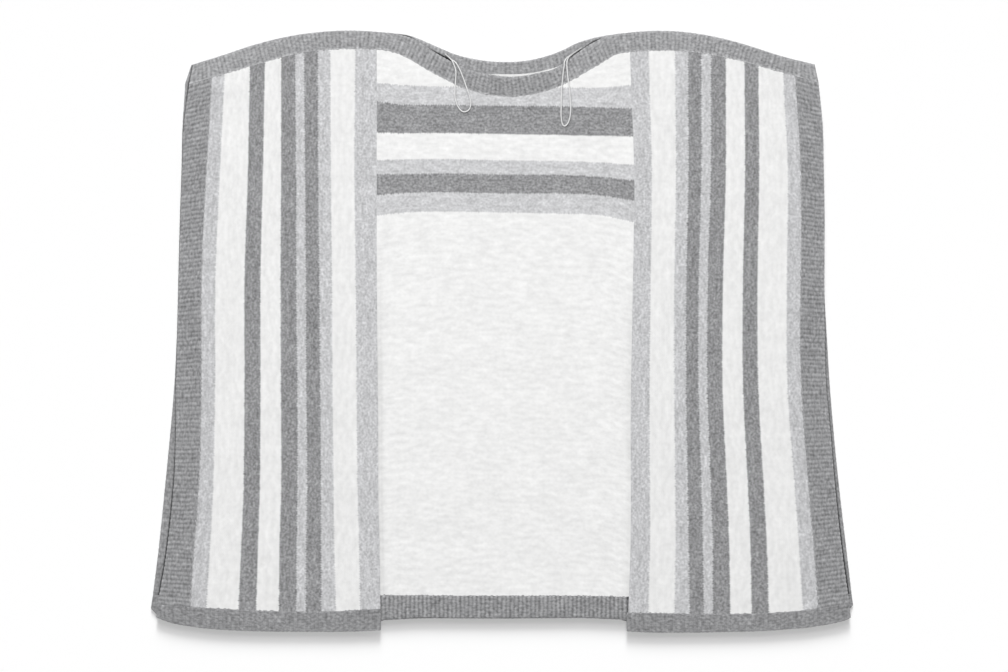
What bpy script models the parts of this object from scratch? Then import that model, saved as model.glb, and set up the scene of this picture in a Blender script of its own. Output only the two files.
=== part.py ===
"""An open-sided striped knit poncho, laid flat: a back, a front, rib bands and two hanger loops.

Run it with: blender --background --python part.py

The frame is in metres with +Z up. The back lies on z = 0, the neck points to +Y, and the origin is under
the middle of the outline. Sizes and tables are in millimetres and take MM when points are made.
"""
from collections import namedtuple
from itertools import accumulate, pairwise

import bmesh
import bpy
from mathutils import Vector

MM = 0.001

# Thicknesses. The front lies on the back, and every piece keeps SEAM_GAP to its neighbours.
SEAM_GAP = 0.3
PANEL_THICKNESS = 2.2
RIB_HEIGHT = 0.7
BAND_EDGE_DROP = 0.9
BACK_UNDERSIDE = 0.0
FRONT_UNDERSIDE = BACK_UNDERSIDE + PANEL_THICKNESS + RIB_HEIGHT + SEAM_GAP

# Rib bands: the ribs' pitch, and how many lie between two posts of a band.
NECK_RIB_PITCH = 4.65
SIDE_RIB_PITCH = 4.98
HEM_RIB_PITCH = 4.76
NECK_RIBS_PER_BAY = 4
SIDE_BAYS = 12
CENTRE_HEM_BAYS = 6

# Panels are grids with this many rows from neck to hem. Their columns keep CORNER_CLEAR from a corner.
PANEL_ROWS = 12
CORNER_CLEAR = 2.0

# Steps in which a smooth line through a table is read before points are picked from it.
SMOOTH_STEPS = 2000

CORD_DIAMETER = 1.8
CORD_POINT_SPACING = 4.4

# Open sides, from the neck down: the outer edges of the back and front, and the seams where the side bands
# meet the panels.
Side = namedtuple("Side", "y back_left front_left left_band right_band front_right back_right")
SIDES = (
    Side(290, -363.5, -359.5, -334.0, 337.5, 363.5, 363.0),
    Side(240, -367.0, -365.5, -337.0, 341.0, 368.5, 368.0),
    Side(180, -369.0, -368.0, -340.5, 344.0, 370.0, 369.5),
    Side(120, -371.0, -370.0, -343.5, 344.5, 371.0, 370.5),
    Side(60, -372.5, -371.5, -346.0, 344.0, 370.5, 370.5),
    Side(0, -374.0, -373.0, -346.0, 343.0, 371.0, 373.5),
    Side(-60, -377.0, -374.5, -346.0, 344.5, 372.5, 377.0),
    Side(-120, -382.0, -375.0, -347.0, 348.0, 378.0, 382.0),
    Side(-180, -388.0, -377.5, -349.0, 353.0, 383.0, 388.0),
    Side(-240, -394.0, -384.0, -353.5, 358.0, 389.5, 395.0),
    Side(-290, -400.0, -391.0, -357.5, 362.5, 396.0, 401.0),
    Side(-320, -404.0, -397.5, -358.5, 364.0, 400.5, 404.0),
)

# The two long seams between the front's centre panel and its side panels.
Seam = namedtuple("Seam", "y left right")
SEAMS = (
    Seam(330, -144.0, 146.7),
    Seam(240, -144.0, 150.1),
    Seam(180, -144.0, 152.2),
    Seam(100, -144.0, 151.3),
    Seam(0, -143.5, 149.5),
    Seam(-100, -142.5, 148.0),
    Seam(-200, -142.0, 148.2),
    Seam(-260, -140.5, 147.5),
    Seam(-330, -139.5, 145.0),
)

# Neck-and-shoulder bands from the left corner over the left shoulder, round the neck and on to the right
# corner: the free edge, and the seam below it.
Station = namedtuple("Station", "edge_x edge_y seam_x seam_y")
FRONT_NECK = (
    Station(-357.0, 307.0, -360.5, 284.5),
    Station(-324.5, 316.5, -319.0, 296.5),
    Station(-278.5, 331.5, -273.0, 310.0),
    Station(-232.5, 341.5, -229.5, 321.0),
    Station(-186.5, 345.8, -186.5, 325.0),
    Station(-140.5, 344.3, -144.0, 325.0),
    Station(-106.0, 338.0, -114.5, 317.5),
    Station(-75.0, 319.5, -84.5, 300.5),
    Station(-46.0, 304.5, -53.5, 284.5),
    Station(-27.5, 298.0, -33.0, 276.5),
    Station(0.0, 293.5, 0.0, 271.0),
    Station(21.5, 293.5, 26.0, 271.5),
    Station(51.0, 299.4, 58.0, 279.0),
    Station(64.0, 303.6, 72.0, 285.3),
    Station(77.0, 313.5, 86.0, 292.5),
    Station(99.0, 329.0, 109.0, 306.0),
    Station(111.5, 337.0, 122.0, 313.5),
    Station(136.0, 342.5, 139.0, 321.0),
    Station(182.0, 345.8, 182.0, 323.5),
    Station(228.0, 342.0, 225.0, 321.0),
    Station(274.0, 331.5, 268.5, 313.0),
    Station(320.0, 317.0, 314.0, 300.5),
    Station(359.5, 307.0, 364.0, 286.5),
)
BACK_NECK = (
    Station(-357.5, 306.5, -365.0, 284.0),
    Station(-324.5, 316.0, -319.0, 296.0),
    Station(-278.5, 331.0, -273.0, 309.5),
    Station(-232.5, 341.0, -229.5, 320.5),
    Station(-186.5, 345.5, -186.5, 324.5),
    Station(-140.5, 344.3, -144.0, 326.0),
    Station(-106.0, 340.3, -111.0, 322.0),
    Station(-82.5, 331.0, -88.0, 316.5),
    Station(-54.0, 319.0, -57.5, 306.0),
    Station(-25.0, 312.3, -27.0, 297.0),
    Station(-2.0, 310.3, -2.0, 295.8),
    Station(21.0, 310.8, 22.0, 296.1),
    Station(44.0, 314.8, 47.0, 299.4),
    Station(67.0, 322.5, 71.0, 306.6),
    Station(90.0, 333.3, 96.0, 316.5),
    Station(113.0, 339.3, 119.0, 321.0),
    Station(136.0, 342.5, 139.0, 322.0),
    Station(182.0, 345.5, 182.0, 323.5),
    Station(228.0, 341.5, 225.0, 321.0),
    Station(274.0, 331.0, 268.5, 313.0),
    Station(320.0, 316.5, 314.0, 300.5),
    Station(359.5, 306.5, 363.5, 286.0),
)

# Hem bands: their seams with the panels, and their free lower edges.
Hem = namedtuple("Hem", "x seam_y edge_y")
LEFT_HEM = (
    Hem(-397.5, -314.0, -328.5),
    Hem(-388.0, -314.8, -332.5),
    Hem(-376.0, -315.7, -336.0),
    Hem(-355.0, -317.2, -339.5),
    Hem(-328.0, -318.8, -342.5),
    Hem(-284.0, -321.0, -344.5),
    Hem(-230.0, -322.5, -345.0),
    Hem(-175.0, -321.3, -345.0),
    Hem(-139.5, -319.0, -343.5),
)
CENTRE_HEM = (
    Hem(-138.8, -303.5, -332.0),
    Hem(-125.0, -303.5, -330.0),
    Hem(0.0, -304.2, -330.0),
    Hem(98.0, -304.2, -329.5),
    Hem(143.3, -305.5, -331.5),
)
RIGHT_HEM = (
    Hem(143.6, -323.5, -344.5),
    Hem(170.0, -324.0, -346.0),
    Hem(222.0, -325.0, -346.0),
    Hem(274.0, -325.0, -345.0),
    Hem(306.0, -324.0, -344.0),
    Hem(332.0, -322.5, -342.0),
    Hem(350.0, -320.5, -340.5),
    Hem(367.0, -317.8, -338.0),
    Hem(381.0, -315.8, -335.5),
    Hem(395.0, -313.6, -332.0),
    Hem(401.0, -313.0, -329.0),
)
BACK_HEM = (
    Hem(-404.0, -303.0, -318.5),
    Hem(-397.0, -303.5, -325.5),
    Hem(-368.0, -305.0, -333.0),
    Hem(-330.0, -308.0, -338.5),
    Hem(-260.0, -310.0, -341.0),
    Hem(-175.0, -310.0, -341.0),
    Hem(-145.0, -307.0, -335.0),
    Hem(-118.0, -303.0, -327.5),
    Hem(0.0, -301.0, -327.0),
    Hem(122.0, -303.0, -327.5),
    Hem(150.0, -307.0, -336.0),
    Hem(182.0, -311.0, -342.0),
    Hem(262.0, -312.0, -341.5),
    Hem(325.0, -309.0, -339.0),
    Hem(368.0, -305.0, -334.0),
    Hem(398.0, -302.5, -321.0),
    Hem(404.0, -302.0, -315.0),
)

# A band's cross-section, from its seam (across 0) to its free edge (across 1), as heights over its underside
# in the grooves and on the ribs.
Rise = namedtuple("Rise", "across groove rib")
BAND_RISE = (
    Rise(0.00, PANEL_THICKNESS, PANEL_THICKNESS + RIB_HEIGHT),
    Rise(0.86, PANEL_THICKNESS, PANEL_THICKNESS + RIB_HEIGHT),
    Rise(1.00, PANEL_THICKNESS - BAND_EDGE_DROP, PANEL_THICKNESS + RIB_HEIGHT - BAND_EDGE_DROP),
)

# Hanger loops: each cord starts inside the neck, climbs over the front band's edge, hangs over the band onto
# the centre panel and comes back under its start.
INSIDE_NECK = BACK_UNDERSIDE + PANEL_THICKNESS + RIB_HEIGHT + SEAM_GAP + CORD_DIAMETER / 2
ON_CORD = INSIDE_NECK + CORD_DIAMETER + SEAM_GAP + 0.1
ON_PANEL = FRONT_UNDERSIDE + PANEL_THICKNESS + SEAM_GAP + CORD_DIAMETER / 2
ON_BAND = ON_PANEL + RIB_HEIGHT + 0.1
LEFT_LOOP = (
    (-65.5, 319.0, ON_CORD),
    (-60.8, 315.0, ON_CORD + 0.5),
    (-57.6, 311.6, ON_BAND - 0.2),
    (-55.6, 307.6, ON_BAND),
    (-53.0, 299.0, ON_BAND),
    (-53.4, 287.0, ON_BAND),
    (-54.0, 277.0, ON_BAND - 0.3),
    (-53.8, 268.0, ON_PANEL),
    (-51.4, 260.0, ON_PANEL),
    (-47.6, 254.4, ON_PANEL),
    (-43.0, 252.4, ON_PANEL),
    (-38.0, 255.0, ON_PANEL),
    (-35.8, 261.0, ON_PANEL),
    (-37.0, 269.0, ON_PANEL + 0.1),
    (-39.6, 277.0, ON_BAND - 0.1),
    (-43.0, 287.0, ON_BAND),
    (-47.6, 299.0, ON_BAND),
    (-51.8, 307.0, ON_BAND),
    (-54.4, 310.2, INSIDE_NECK + 2.2),
    (-58.4, 313.0, INSIDE_NECK + 0.4),
    (-62.0, 316.2, INSIDE_NECK),
    (-65.0, 319.0, INSIDE_NECK),
)
RIGHT_LOOP = (
    (91.6, 326.2, ON_CORD),
    (87.4, 323.4, ON_CORD + 0.2),
    (82.0, 319.6, ON_BAND - 0.5),
    (77.4, 315.8, ON_BAND),
    (75.0, 311.4, ON_BAND),
    (74.6, 305.0, ON_BAND),
    (75.6, 293.0, ON_BAND),
    (77.0, 282.0, ON_BAND - 0.1),
    (78.2, 271.0, ON_PANEL),
    (79.0, 257.0, ON_PANEL),
    (78.2, 247.0, ON_PANEL),
    (75.8, 239.6, ON_PANEL),
    (72.0, 236.2, ON_PANEL),
    (69.2, 239.2, ON_PANEL),
    (68.0, 247.0, ON_PANEL),
    (68.0, 257.0, ON_PANEL),
    (68.3, 270.0, ON_PANEL + 0.1),
    (68.8, 281.0, ON_BAND - 0.1),
    (70.2, 296.0, ON_BAND),
    (71.4, 305.0, ON_BAND),
    (72.1, 310.6, ON_BAND),
    (75.0, 314.9, INSIDE_NECK + 1.7),
    (80.0, 318.6, INSIDE_NECK + 0.3),
    (85.4, 322.4, INSIDE_NECK),
    (90.4, 325.6, INSIDE_NECK),
)

# Yarns, as display tones out of FULL_TONE with their roughness. DISPLAY_GAMMA turns a tone to linear light.
FULL_TONE = 255
DISPLAY_GAMMA = 2.2
Yarn = namedtuple("Yarn", "name tone roughness")
OFF_WHITE = Yarn("off_white_knit", (238, 238, 237), 0.95)
SIDE_STRIPES = Yarn("striped_side_knit", (200, 200, 201), 0.95)
GREY_RIB = Yarn("grey_melange_rib", (152, 152, 154), 0.95)
GREY_HEM = Yarn("grey_melange_hem", (144, 144, 144), 0.95)
LOOP_CORD = Yarn("pale_grey_cord", (196, 196, 198), 0.7)


def cubic(knots, values, position):
    """Read a smooth curve through (knot, value) pairs, knots rising, straight beyond its ends."""
    last = len(knots) - 1
    slopes = []
    for index in range(last + 1):
        before, after = max(index - 1, 0), min(index + 1, last)
        slopes.append((values[after] - values[before]) / (knots[after] - knots[before]))
    if position <= knots[0]:
        return values[0] + slopes[0] * (position - knots[0])
    if position >= knots[last]:
        return values[last] + slopes[last] * (position - knots[last])
    start = max(index for index in range(last) if knots[index] <= position)
    width = knots[start + 1] - knots[start]
    t = (position - knots[start]) / width
    return (
        values[start] * (2 * t**3 - 3 * t**2 + 1)
        + slopes[start] * width * (t**3 - 2 * t**2 + t)
        + values[start + 1] * (3 * t**2 - 2 * t**3)
        + slopes[start + 1] * width * (t**3 - t**2)
    )


def read(table, column, position):
    """Read one column of a table at a position along its first column."""
    rows = sorted(table)
    return cubic([row[0] for row in rows], [getattr(row, column) for row in rows], position)


def mix(start, end, share):
    return start + (end - start) * share


def lengths_along(points):
    """The length of the line through the points, up to each of them."""
    return list(accumulate(((b - a).length for a, b in pairwise(points)), initial=0.0))


def evenly_spaced(points, count):
    """Indices of count + 1 of the points, at even steps along the line through them."""
    reached = lengths_along(points)
    targets = [reached[-1] * step / count for step in range(count + 1)]
    return [min(range(len(points)), key=lambda index: abs(reached[index] - target)) for target in targets]


def smooth_rows(table, steps):
    """Rows read at even steps from the smooth curves through a table's columns."""
    knots = range(len(table))
    columns = list(zip(*table))
    return [
        [cubic(knots, column, (len(table) - 1) * step / steps) for column in columns]
        for step in range(steps + 1)
    ]


# A post is a line across a band, from its seam to its free edge, as two plan points.
Post = namedtuple("Post", "seam edge")


def neck_posts(stations):
    """Posts at even steps along a neck-and-shoulder band, with whole ribs between them."""
    rows = [Station(*row) for row in smooth_rows(stations, SMOOTH_STEPS)]
    lines = [Post(Vector((row.seam_x, row.seam_y)), Vector((row.edge_x, row.edge_y))) for row in rows]
    middles = [(line.seam + line.edge) / 2 for line in lines]
    bays = round(lengths_along(middles)[-1] / (NECK_RIB_PITCH * NECK_RIBS_PER_BAY))
    return [lines[index] for index in evenly_spaced(middles, bays)]


def below(post):
    """The point that a panel has under a neck post, one seam gap past the band's seam."""
    return post.seam + (post.seam - post.edge).normalized() * SEAM_GAP


def seam_height(posts, x):
    """The height of a neck band's seam at x, along the straight lines between its posts."""
    for left, right in pairwise(posts):
        if left.seam.x <= x <= right.seam.x:
            return mix(left.seam.y, right.seam.y, (x - left.seam.x) / (right.seam.x - left.seam.x))
    nearest = min(posts, key=lambda post: abs(post.seam.x - x))
    return nearest.seam.y


def side_line(column, top_y, bottom_y):
    """Points at even steps down one line of the SIDES table."""
    heights = [mix(top_y, bottom_y, step / SIDE_BAYS) for step in range(SIDE_BAYS + 1)]
    return [Vector((read(SIDES, column, y), y)) for y in heights]


def side_posts(outer, inner, end_post, top_posts, hem):
    """Posts of a side band, from the neck band's seam down to the hem band's seam."""
    inner_top = seam_height(top_posts, getattr(SIDES[0], inner)) - SEAM_GAP
    inner_bottom = read(hem, "seam_y", getattr(SIDES[-1], inner)) + SEAM_GAP
    outer_bottom = read(hem, "seam_y", getattr(SIDES[-1], outer)) + SEAM_GAP
    seams = side_line(inner, inner_top, inner_bottom)
    edges = side_line(outer, end_post.seam.y - SEAM_GAP, outer_bottom)
    return [Post(seam, edge) for seam, edge in zip(seams, edges)]


def hem_posts(hem, places):
    """Posts of a hem band at the given places along it."""
    return [
        Post(Vector((x, read(hem, "seam_y", x))), Vector((x, read(hem, "edge_y", x))))
        for x in places
    ]


def slanted_end(post, outer, hem):
    """A hem band's last post, with its seam end at the side bands' outer edge."""
    x = read(SIDES, outer, post.seam.y)
    return Post(Vector((x, read(hem, "seam_y", x))), post.edge)


def panel_grid(top_posts, left_of, right_of, hem):
    """Plan points of a panel, a list for each column from the neck to the hem.

    left_of and right_of give its two long edges at a height. It has a column at each of them and one under
    each neck post between, so its upper edge follows the neck band's seam.
    """
    corners = []
    for long_side in (left_of, right_of):
        x = long_side(seam_height(top_posts, long_side(SIDES[0].y)))
        corners.append(Vector((x, seam_height(top_posts, x) - SEAM_GAP)))
    near_left, near_right = corners[0].x + CORNER_CLEAR, corners[1].x - CORNER_CLEAR
    tops = [below(post) for post in top_posts if near_left < post.seam.x < near_right]
    shares = [(top.x - left_of(top.y)) / (right_of(top.y) - left_of(top.y)) for top in tops]
    grid = []
    for top, share in zip([corners[0], *tops, corners[1]], [0.0, *shares, 1.0]):
        foot_x = mix(left_of(hem[0].seam_y), right_of(hem[0].seam_y), share)
        foot_y = read(hem, "seam_y", foot_x) + SEAM_GAP
        heights = [mix(top.y, foot_y, row / PANEL_ROWS) for row in range(PANEL_ROWS + 1)]
        grid.append([Vector((mix(left_of(y), right_of(y), share), y)) for y in heights])
    return grid


def make_material(yarn):
    """A Principled material with the yarn's colour, made once."""
    if yarn.name in bpy.data.materials:
        return bpy.data.materials[yarn.name]
    material = bpy.data.materials.new(yarn.name)
    material.use_nodes = True
    shader = material.node_tree.nodes["Principled BSDF"]
    colour = [(tone / FULL_TONE) ** DISPLAY_GAMMA for tone in yarn.tone]
    shader.inputs["Base Color"].default_value = (*colour, 1.0)
    shader.inputs["Roughness"].default_value = yarn.roughness
    shader.inputs["Metallic"].default_value = 0.0
    return material


def add_object(name, data, collection, yarn):
    data.materials.append(make_material(yarn))
    piece = bpy.data.objects.new(name, data)
    collection.objects.link(piece)
    return piece


def mesh_from(name, bm):
    mesh = bpy.data.meshes.new(name)
    bm.to_mesh(mesh)
    bm.free()
    return mesh


def solid_point(plan, height):
    return (plan.x * MM, plan.y * MM, height * MM)


def add_panel(name, grid, underside, collection, yarn):
    """A wall of cloth of one thickness over a grid of plan points."""
    bm = bmesh.new()
    middle = underside + PANEL_THICKNESS / 2
    columns = [[bm.verts.new(solid_point(plan, middle)) for plan in column] for column in grid]
    for left, right in pairwise(columns):
        for row in range(PANEL_ROWS):
            bm.faces.new((left[row], left[row + 1], right[row + 1], right[row]))
    piece = add_object(name, mesh_from(name, bm), collection, yarn)
    wall = piece.modifiers.new("wall", "SOLIDIFY")
    wall.thickness = PANEL_THICKNESS * MM
    wall.offset = 0.0
    return piece


def add_band(name, posts, ribs_per_bay, underside, collection, yarn):
    """A band over its posts: ribs across its upper face, flat below, thinner at the free edge.

    The ribs between two posts lie on straight lines, so the walls along seam and edge are flat faces.
    """
    bm = bmesh.new()
    steps = 2 * ribs_per_bay if ribs_per_bay else 1
    plans = [posts[0]]
    for left, right in pairwise(posts):
        for step in range(1, steps + 1):
            share = step / steps
            plans.append(Post(left.seam.lerp(right.seam, share), left.edge.lerp(right.edge, share)))
    tops = []
    for index, plan in enumerate(plans):
        on_rib = ribs_per_bay and index % 2
        column = []
        for rise in BAND_RISE:
            height = underside + (rise.rib if on_rib else rise.groove)
            column.append(bm.verts.new(solid_point(plan.seam.lerp(plan.edge, rise.across), height)))
        tops.append(column)
    bottoms = [
        [bm.verts.new(solid_point(plan, underside)) for plan in (post.seam, post.edge)]
        for post in posts
    ]
    for columns in (tops, bottoms):
        for left, right in pairwise(columns):
            for row in range(len(left) - 1):
                bm.faces.new((left[row], left[row + 1], right[row + 1], right[row]))
    for bay, (left, right) in enumerate(pairwise(bottoms)):
        for side in (0, -1):
            rim = [column[side] for column in tops[bay * steps:(bay + 1) * steps + 1]]
            bm.faces.new([right[side], left[side], *rim])
    for end in (0, -1):
        bm.faces.new([*tops[end], *reversed(bottoms[end])])
    bmesh.ops.recalc_face_normals(bm, faces=bm.faces)
    return add_object(name, mesh_from(name, bm), collection, yarn)


def add_cord(name, route, collection):
    """A round cord along a smooth line through its route."""
    rows = [Vector(row) for row in smooth_rows(route, SMOOTH_STEPS)]
    picked = evenly_spaced(rows, round(lengths_along(rows)[-1] / CORD_POINT_SPACING))
    data = bpy.data.curves.new(name, "CURVE")
    data.dimensions = "3D"
    data.bevel_depth = CORD_DIAMETER / 2 * MM
    data.bevel_resolution = 2
    data.use_fill_caps = True
    spline = data.splines.new("POLY")
    spline.points.add(len(picked) - 1)
    for point, index in zip(spline.points, picked):
        point.co = (*(rows[index] * MM), 1.0)
    return add_object(name, data, collection, LOOP_CORD)


def long_edge(table, column, share):
    """A long edge as a function of height: a table's column, moved by a share of the seam gap."""
    return lambda y: read(table, column, y) + share * SEAM_GAP


def side_ribs_per_bay(posts):
    """Whole ribs between two posts of a side band."""
    return round(lengths_along([post.seam for post in posts])[-1] / SIDE_BAYS / SIDE_RIB_PITCH)


def edge_hem_posts(hem, grid, outer_ends):
    """Posts of a hem band that runs on past its panel, under the side bands.

    There is one at the foot of each panel column, and past the panel the table's own rows serve. outer_ends
    gives, for each end of the band under a side band, the SIDES column of that band's outer edge.
    """
    feet = [column[-1].x for column in grid[1:-1]]
    past_panel = [row.x for row in hem if not feet[0] - CORNER_CLEAR < row.x < feet[-1] + CORNER_CLEAR]
    posts = hem_posts(hem, sorted(feet + past_panel))
    for end, outer in outer_ends.items():
        posts[end] = slanted_end(posts[end], outer, hem)
    return posts


def add_front(collection):
    """The front: a neck band, three panels, two side bands and three hem bands."""
    top = neck_posts(FRONT_NECK)
    add_band("front_neck_band", top, NECK_RIBS_PER_BAY, FRONT_UNDERSIDE, collection, GREY_RIB)

    grid = panel_grid(top, long_edge(SEAMS, "left", 0.5), long_edge(SEAMS, "right", -0.5), CENTRE_HEM)
    add_panel("front_centre_panel", grid, FRONT_UNDERSIDE, collection, OFF_WHITE)
    first, last = CENTRE_HEM[0].x, CENTRE_HEM[-1].x
    places = [mix(first, last, bay / CENTRE_HEM_BAYS) for bay in range(CENTRE_HEM_BAYS + 1)]
    ribs = round((places[1] - places[0]) / HEM_RIB_PITCH)
    posts = hem_posts(CENTRE_HEM, places)
    add_band("front_centre_hem_band", posts, ribs, FRONT_UNDERSIDE, collection, GREY_RIB)

    sides = (
        ("left", long_edge(SIDES, "left_band", 1), long_edge(SEAMS, "left", -0.5), 0, LEFT_HEM),
        ("right", long_edge(SEAMS, "right", 0.5), long_edge(SIDES, "right_band", -1), -1, RIGHT_HEM),
    )
    for side, left_of, right_of, end, hem in sides:
        grid = panel_grid(top, left_of, right_of, hem)
        add_panel(f"front_{side}_panel", grid, FRONT_UNDERSIDE, collection, SIDE_STRIPES)
        posts = side_posts(f"front_{side}", f"{side}_band", top[end], top, hem)
        ribs = side_ribs_per_bay(posts)
        add_band(f"front_{side}_side_band", posts, ribs, FRONT_UNDERSIDE, collection, GREY_RIB)
        posts = edge_hem_posts(hem, grid, {end: f"front_{side}"})
        add_band(f"front_{side}_hem_band", posts, 0, FRONT_UNDERSIDE, collection, GREY_HEM)


def add_back(collection):
    """The back: one panel in a frame of bands, its underside flat and only its neck ribbed."""
    top = neck_posts(BACK_NECK)
    add_band("back_neck_band", top, NECK_RIBS_PER_BAY, BACK_UNDERSIDE, collection, GREY_RIB)
    grid = panel_grid(top, long_edge(SIDES, "left_band", 1), long_edge(SIDES, "right_band", -1), BACK_HEM)
    add_panel("back_panel", grid, BACK_UNDERSIDE, collection, OFF_WHITE)
    for side, end_post in (("left", top[0]), ("right", top[-1])):
        posts = side_posts(f"back_{side}", f"{side}_band", end_post, top, BACK_HEM)
        add_band(f"back_{side}_side_band", posts, 0, BACK_UNDERSIDE, collection, GREY_RIB)
    posts = edge_hem_posts(BACK_HEM, grid, {0: "back_left", -1: "back_right"})
    add_band("back_hem_band", posts, 0, BACK_UNDERSIDE, collection, GREY_HEM)


def main():
    for existing in list(bpy.data.objects):
        bpy.data.objects.remove(existing)
    collection = bpy.data.collections.new("open_sided_poncho")
    bpy.context.scene.collection.children.link(collection)
    add_back(collection)
    add_front(collection)
    add_cord("hanger_loop_left", LEFT_LOOP, collection)
    add_cord("hanger_loop_right", RIGHT_LOOP, collection)


main()
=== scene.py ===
# %% [markdown]
# # A striped knit poncho, laid flat
#
# The solid model has every sewn piece of this garment at its real size: a back, a front in three panels, rib
# bands round all the edges, and two hanger loops. This file dresses it. Each solid gets a thin knitted shell
# of the same outline, with the yarn, the stripes, the ribs and the seams.

# %% The frame
import math
from collections import namedtuple
from itertools import accumulate, pairwise

import bmesh
import bpy
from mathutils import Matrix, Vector, noise


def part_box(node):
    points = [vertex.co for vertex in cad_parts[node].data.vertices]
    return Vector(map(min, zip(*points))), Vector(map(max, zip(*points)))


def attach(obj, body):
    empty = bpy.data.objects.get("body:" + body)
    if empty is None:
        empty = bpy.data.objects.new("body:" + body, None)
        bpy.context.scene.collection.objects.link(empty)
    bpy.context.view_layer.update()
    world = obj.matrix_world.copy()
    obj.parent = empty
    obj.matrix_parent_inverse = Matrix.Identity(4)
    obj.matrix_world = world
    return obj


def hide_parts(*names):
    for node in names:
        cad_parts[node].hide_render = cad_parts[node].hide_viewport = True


MM = 0.001
BODY = "root"

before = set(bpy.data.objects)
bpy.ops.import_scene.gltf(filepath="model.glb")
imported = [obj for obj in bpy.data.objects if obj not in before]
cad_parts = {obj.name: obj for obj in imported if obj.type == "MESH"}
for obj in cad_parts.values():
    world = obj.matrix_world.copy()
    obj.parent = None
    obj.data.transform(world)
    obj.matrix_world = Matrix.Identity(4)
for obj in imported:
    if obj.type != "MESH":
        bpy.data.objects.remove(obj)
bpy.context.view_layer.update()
print("solids:", len(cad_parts))


def add_object(name, data):
    item = bpy.data.objects.new(name, data)
    bpy.context.scene.collection.objects.link(item)
    return item


# %% [markdown]
# ## The camera
#
# The picture was taken from straight above, with the neck at the top. One pixel is 1.15 mm, so the frame is
# 1159 mm wide. A long lens from three metres up gives the same nearly parallel view that the picture has.

# %% The camera
PHOTO_WIDTH, PHOTO_HEIGHT = 1008, 672
ORIGIN_PIXEL = Vector((502.0, 331.5))
MM_PER_PIXEL = 1.15
CAMERA_HEIGHT = 3.0
SENSOR_WIDTH = 36.0
# The level, in metres, at which one pixel is exactly that large: the top of the front.
MEASURED_LEVEL = 0.005


def add_camera():
    data = bpy.data.cameras.new("camera")
    camera = add_object("camera", data)
    middle = Vector((PHOTO_WIDTH / 2, PHOTO_HEIGHT / 2)) - ORIGIN_PIXEL
    camera.location = (middle.x * MM_PER_PIXEL * MM, -middle.y * MM_PER_PIXEL * MM, CAMERA_HEIGHT)
    data.sensor_width = SENSOR_WIDTH
    data.lens = SENSOR_WIDTH * (CAMERA_HEIGHT - MEASURED_LEVEL) / (PHOTO_WIDTH * MM_PER_PIXEL * MM)
    bpy.context.scene.camera = camera
    return data.lens


print("lens, mm:", round(add_camera(), 1))

# %% [markdown]
# ## Sockets that take part in sums
#
# Node trees are easier to read as formulas. A Wire holds one socket, and arithmetic on it adds the Math nodes.
# A Tree adds any other node in one call: its settings first, then what goes into its sockets.

# %% Wires and trees
def arithmetic(operation, turned=False):
    """A method for one of Python's signs, with its two numbers turned round if need be."""

    def method(wire, other):
        return wire.tree.math(operation, *((other, wire) if turned else (wire, other)))

    return method


class Wire:
    """One output socket, which can be added, multiplied and compared like a number."""

    def __init__(self, tree, node, socket):
        self.tree, self.node, self.socket = tree, node, socket

    def out(self, name):
        return Wire(self.tree, self.node, self.node.outputs[name])

    def math(self, operation, *others):
        return self.tree.math(operation, self, *others)

    def __neg__(self):
        return self * -1

    __add__ = __radd__ = arithmetic("ADD")
    __sub__, __rsub__ = arithmetic("SUBTRACT"), arithmetic("SUBTRACT", turned=True)
    __mul__ = __rmul__ = arithmetic("MULTIPLY")
    __truediv__, __pow__ = arithmetic("DIVIDE"), arithmetic("POWER")


class Tree:
    """A node tree that is filled one call at a time."""

    def __init__(self, nodes):
        self.nodes = nodes

    def add(self, kind, settings=None, inputs=None):
        node = self.nodes.nodes.new(kind)
        for name, value in (settings or {}).items():
            setattr(node, name, value)
        for key, value in (inputs or {}).items():
            self.feed(node.inputs[key], value)
        shown = [socket for socket in node.outputs if socket.enabled]
        return Wire(self, node, shown[0] if shown else None)

    def feed(self, socket, value):
        if isinstance(value, Wire):
            self.nodes.links.new(value.socket, socket)
        else:
            socket.default_value = value

    def math(self, operation, *values):
        return self.add("ShaderNodeMath", {"operation": operation}, dict(enumerate(values)))

    def clamp(self, value):
        return value.math("MAXIMUM", 0.0).math("MINIMUM", 1.0)

    def step(self, place, border, softness):
        """0 before a border and 1 past it, with a short slope between."""
        return self.clamp((place - border) / softness + 0.5)

    def bump(self, place, middle, width):
        """1 at a place, falling off softly to both sides within about twice the width."""
        away = (place - middle) / width
        return self.math("EXPONENT", -(away * away))

    def point(self, x, y, z):
        return self.add("ShaderNodeCombineXYZ", None, {0: x, 1: y, 2: z})

    def split(self, vector):
        """The three numbers of a vector."""
        parts = self.add("ShaderNodeSeparateXYZ", None, {0: vector})
        return parts.out("X"), parts.out("Y"), parts.out("Z")

    def vectors(self, operation, inputs):
        return self.add("ShaderNodeVectorMath", {"operation": operation}, inputs)

    def mix_vectors(self, start, end, share):
        gap = self.vectors("SUBTRACT", {0: end, 1: start})
        return self.vectors("ADD", {0: start, 1: self.vectors("SCALE", {0: gap, "Scale": share})})

    def stored(self, name, output="Vector"):
        """A point attribute, read in a material."""
        return self.add("ShaderNodeAttribute", {"attribute_name": name}).out(output)

    def grey(self, light):
        return self.add("ShaderNodeCombineColor", None, {0: light, 1: light, 2: light})

    def mix_colours(self, start, end, share, blend="MIX"):
        settings = {"data_type": "RGBA", "blend_type": blend}
        # Sockets 6 and 7 are the two colours of a Mix node, and its third output is a colour.
        mixed = self.add("ShaderNodeMix", settings, {0: share, 6: start, 7: end})
        return Wire(self, mixed.node, mixed.node.outputs[2])

    def noise(self, vector, detail):
        """Soft noise round 0, from about -0.5 to 0.5, with one wave to a unit of the vector."""
        inputs = {"Vector": vector, "Scale": 1.0, "Detail": detail}
        return self.add("ShaderNodeTexNoise", None, inputs) - 0.5


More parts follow.
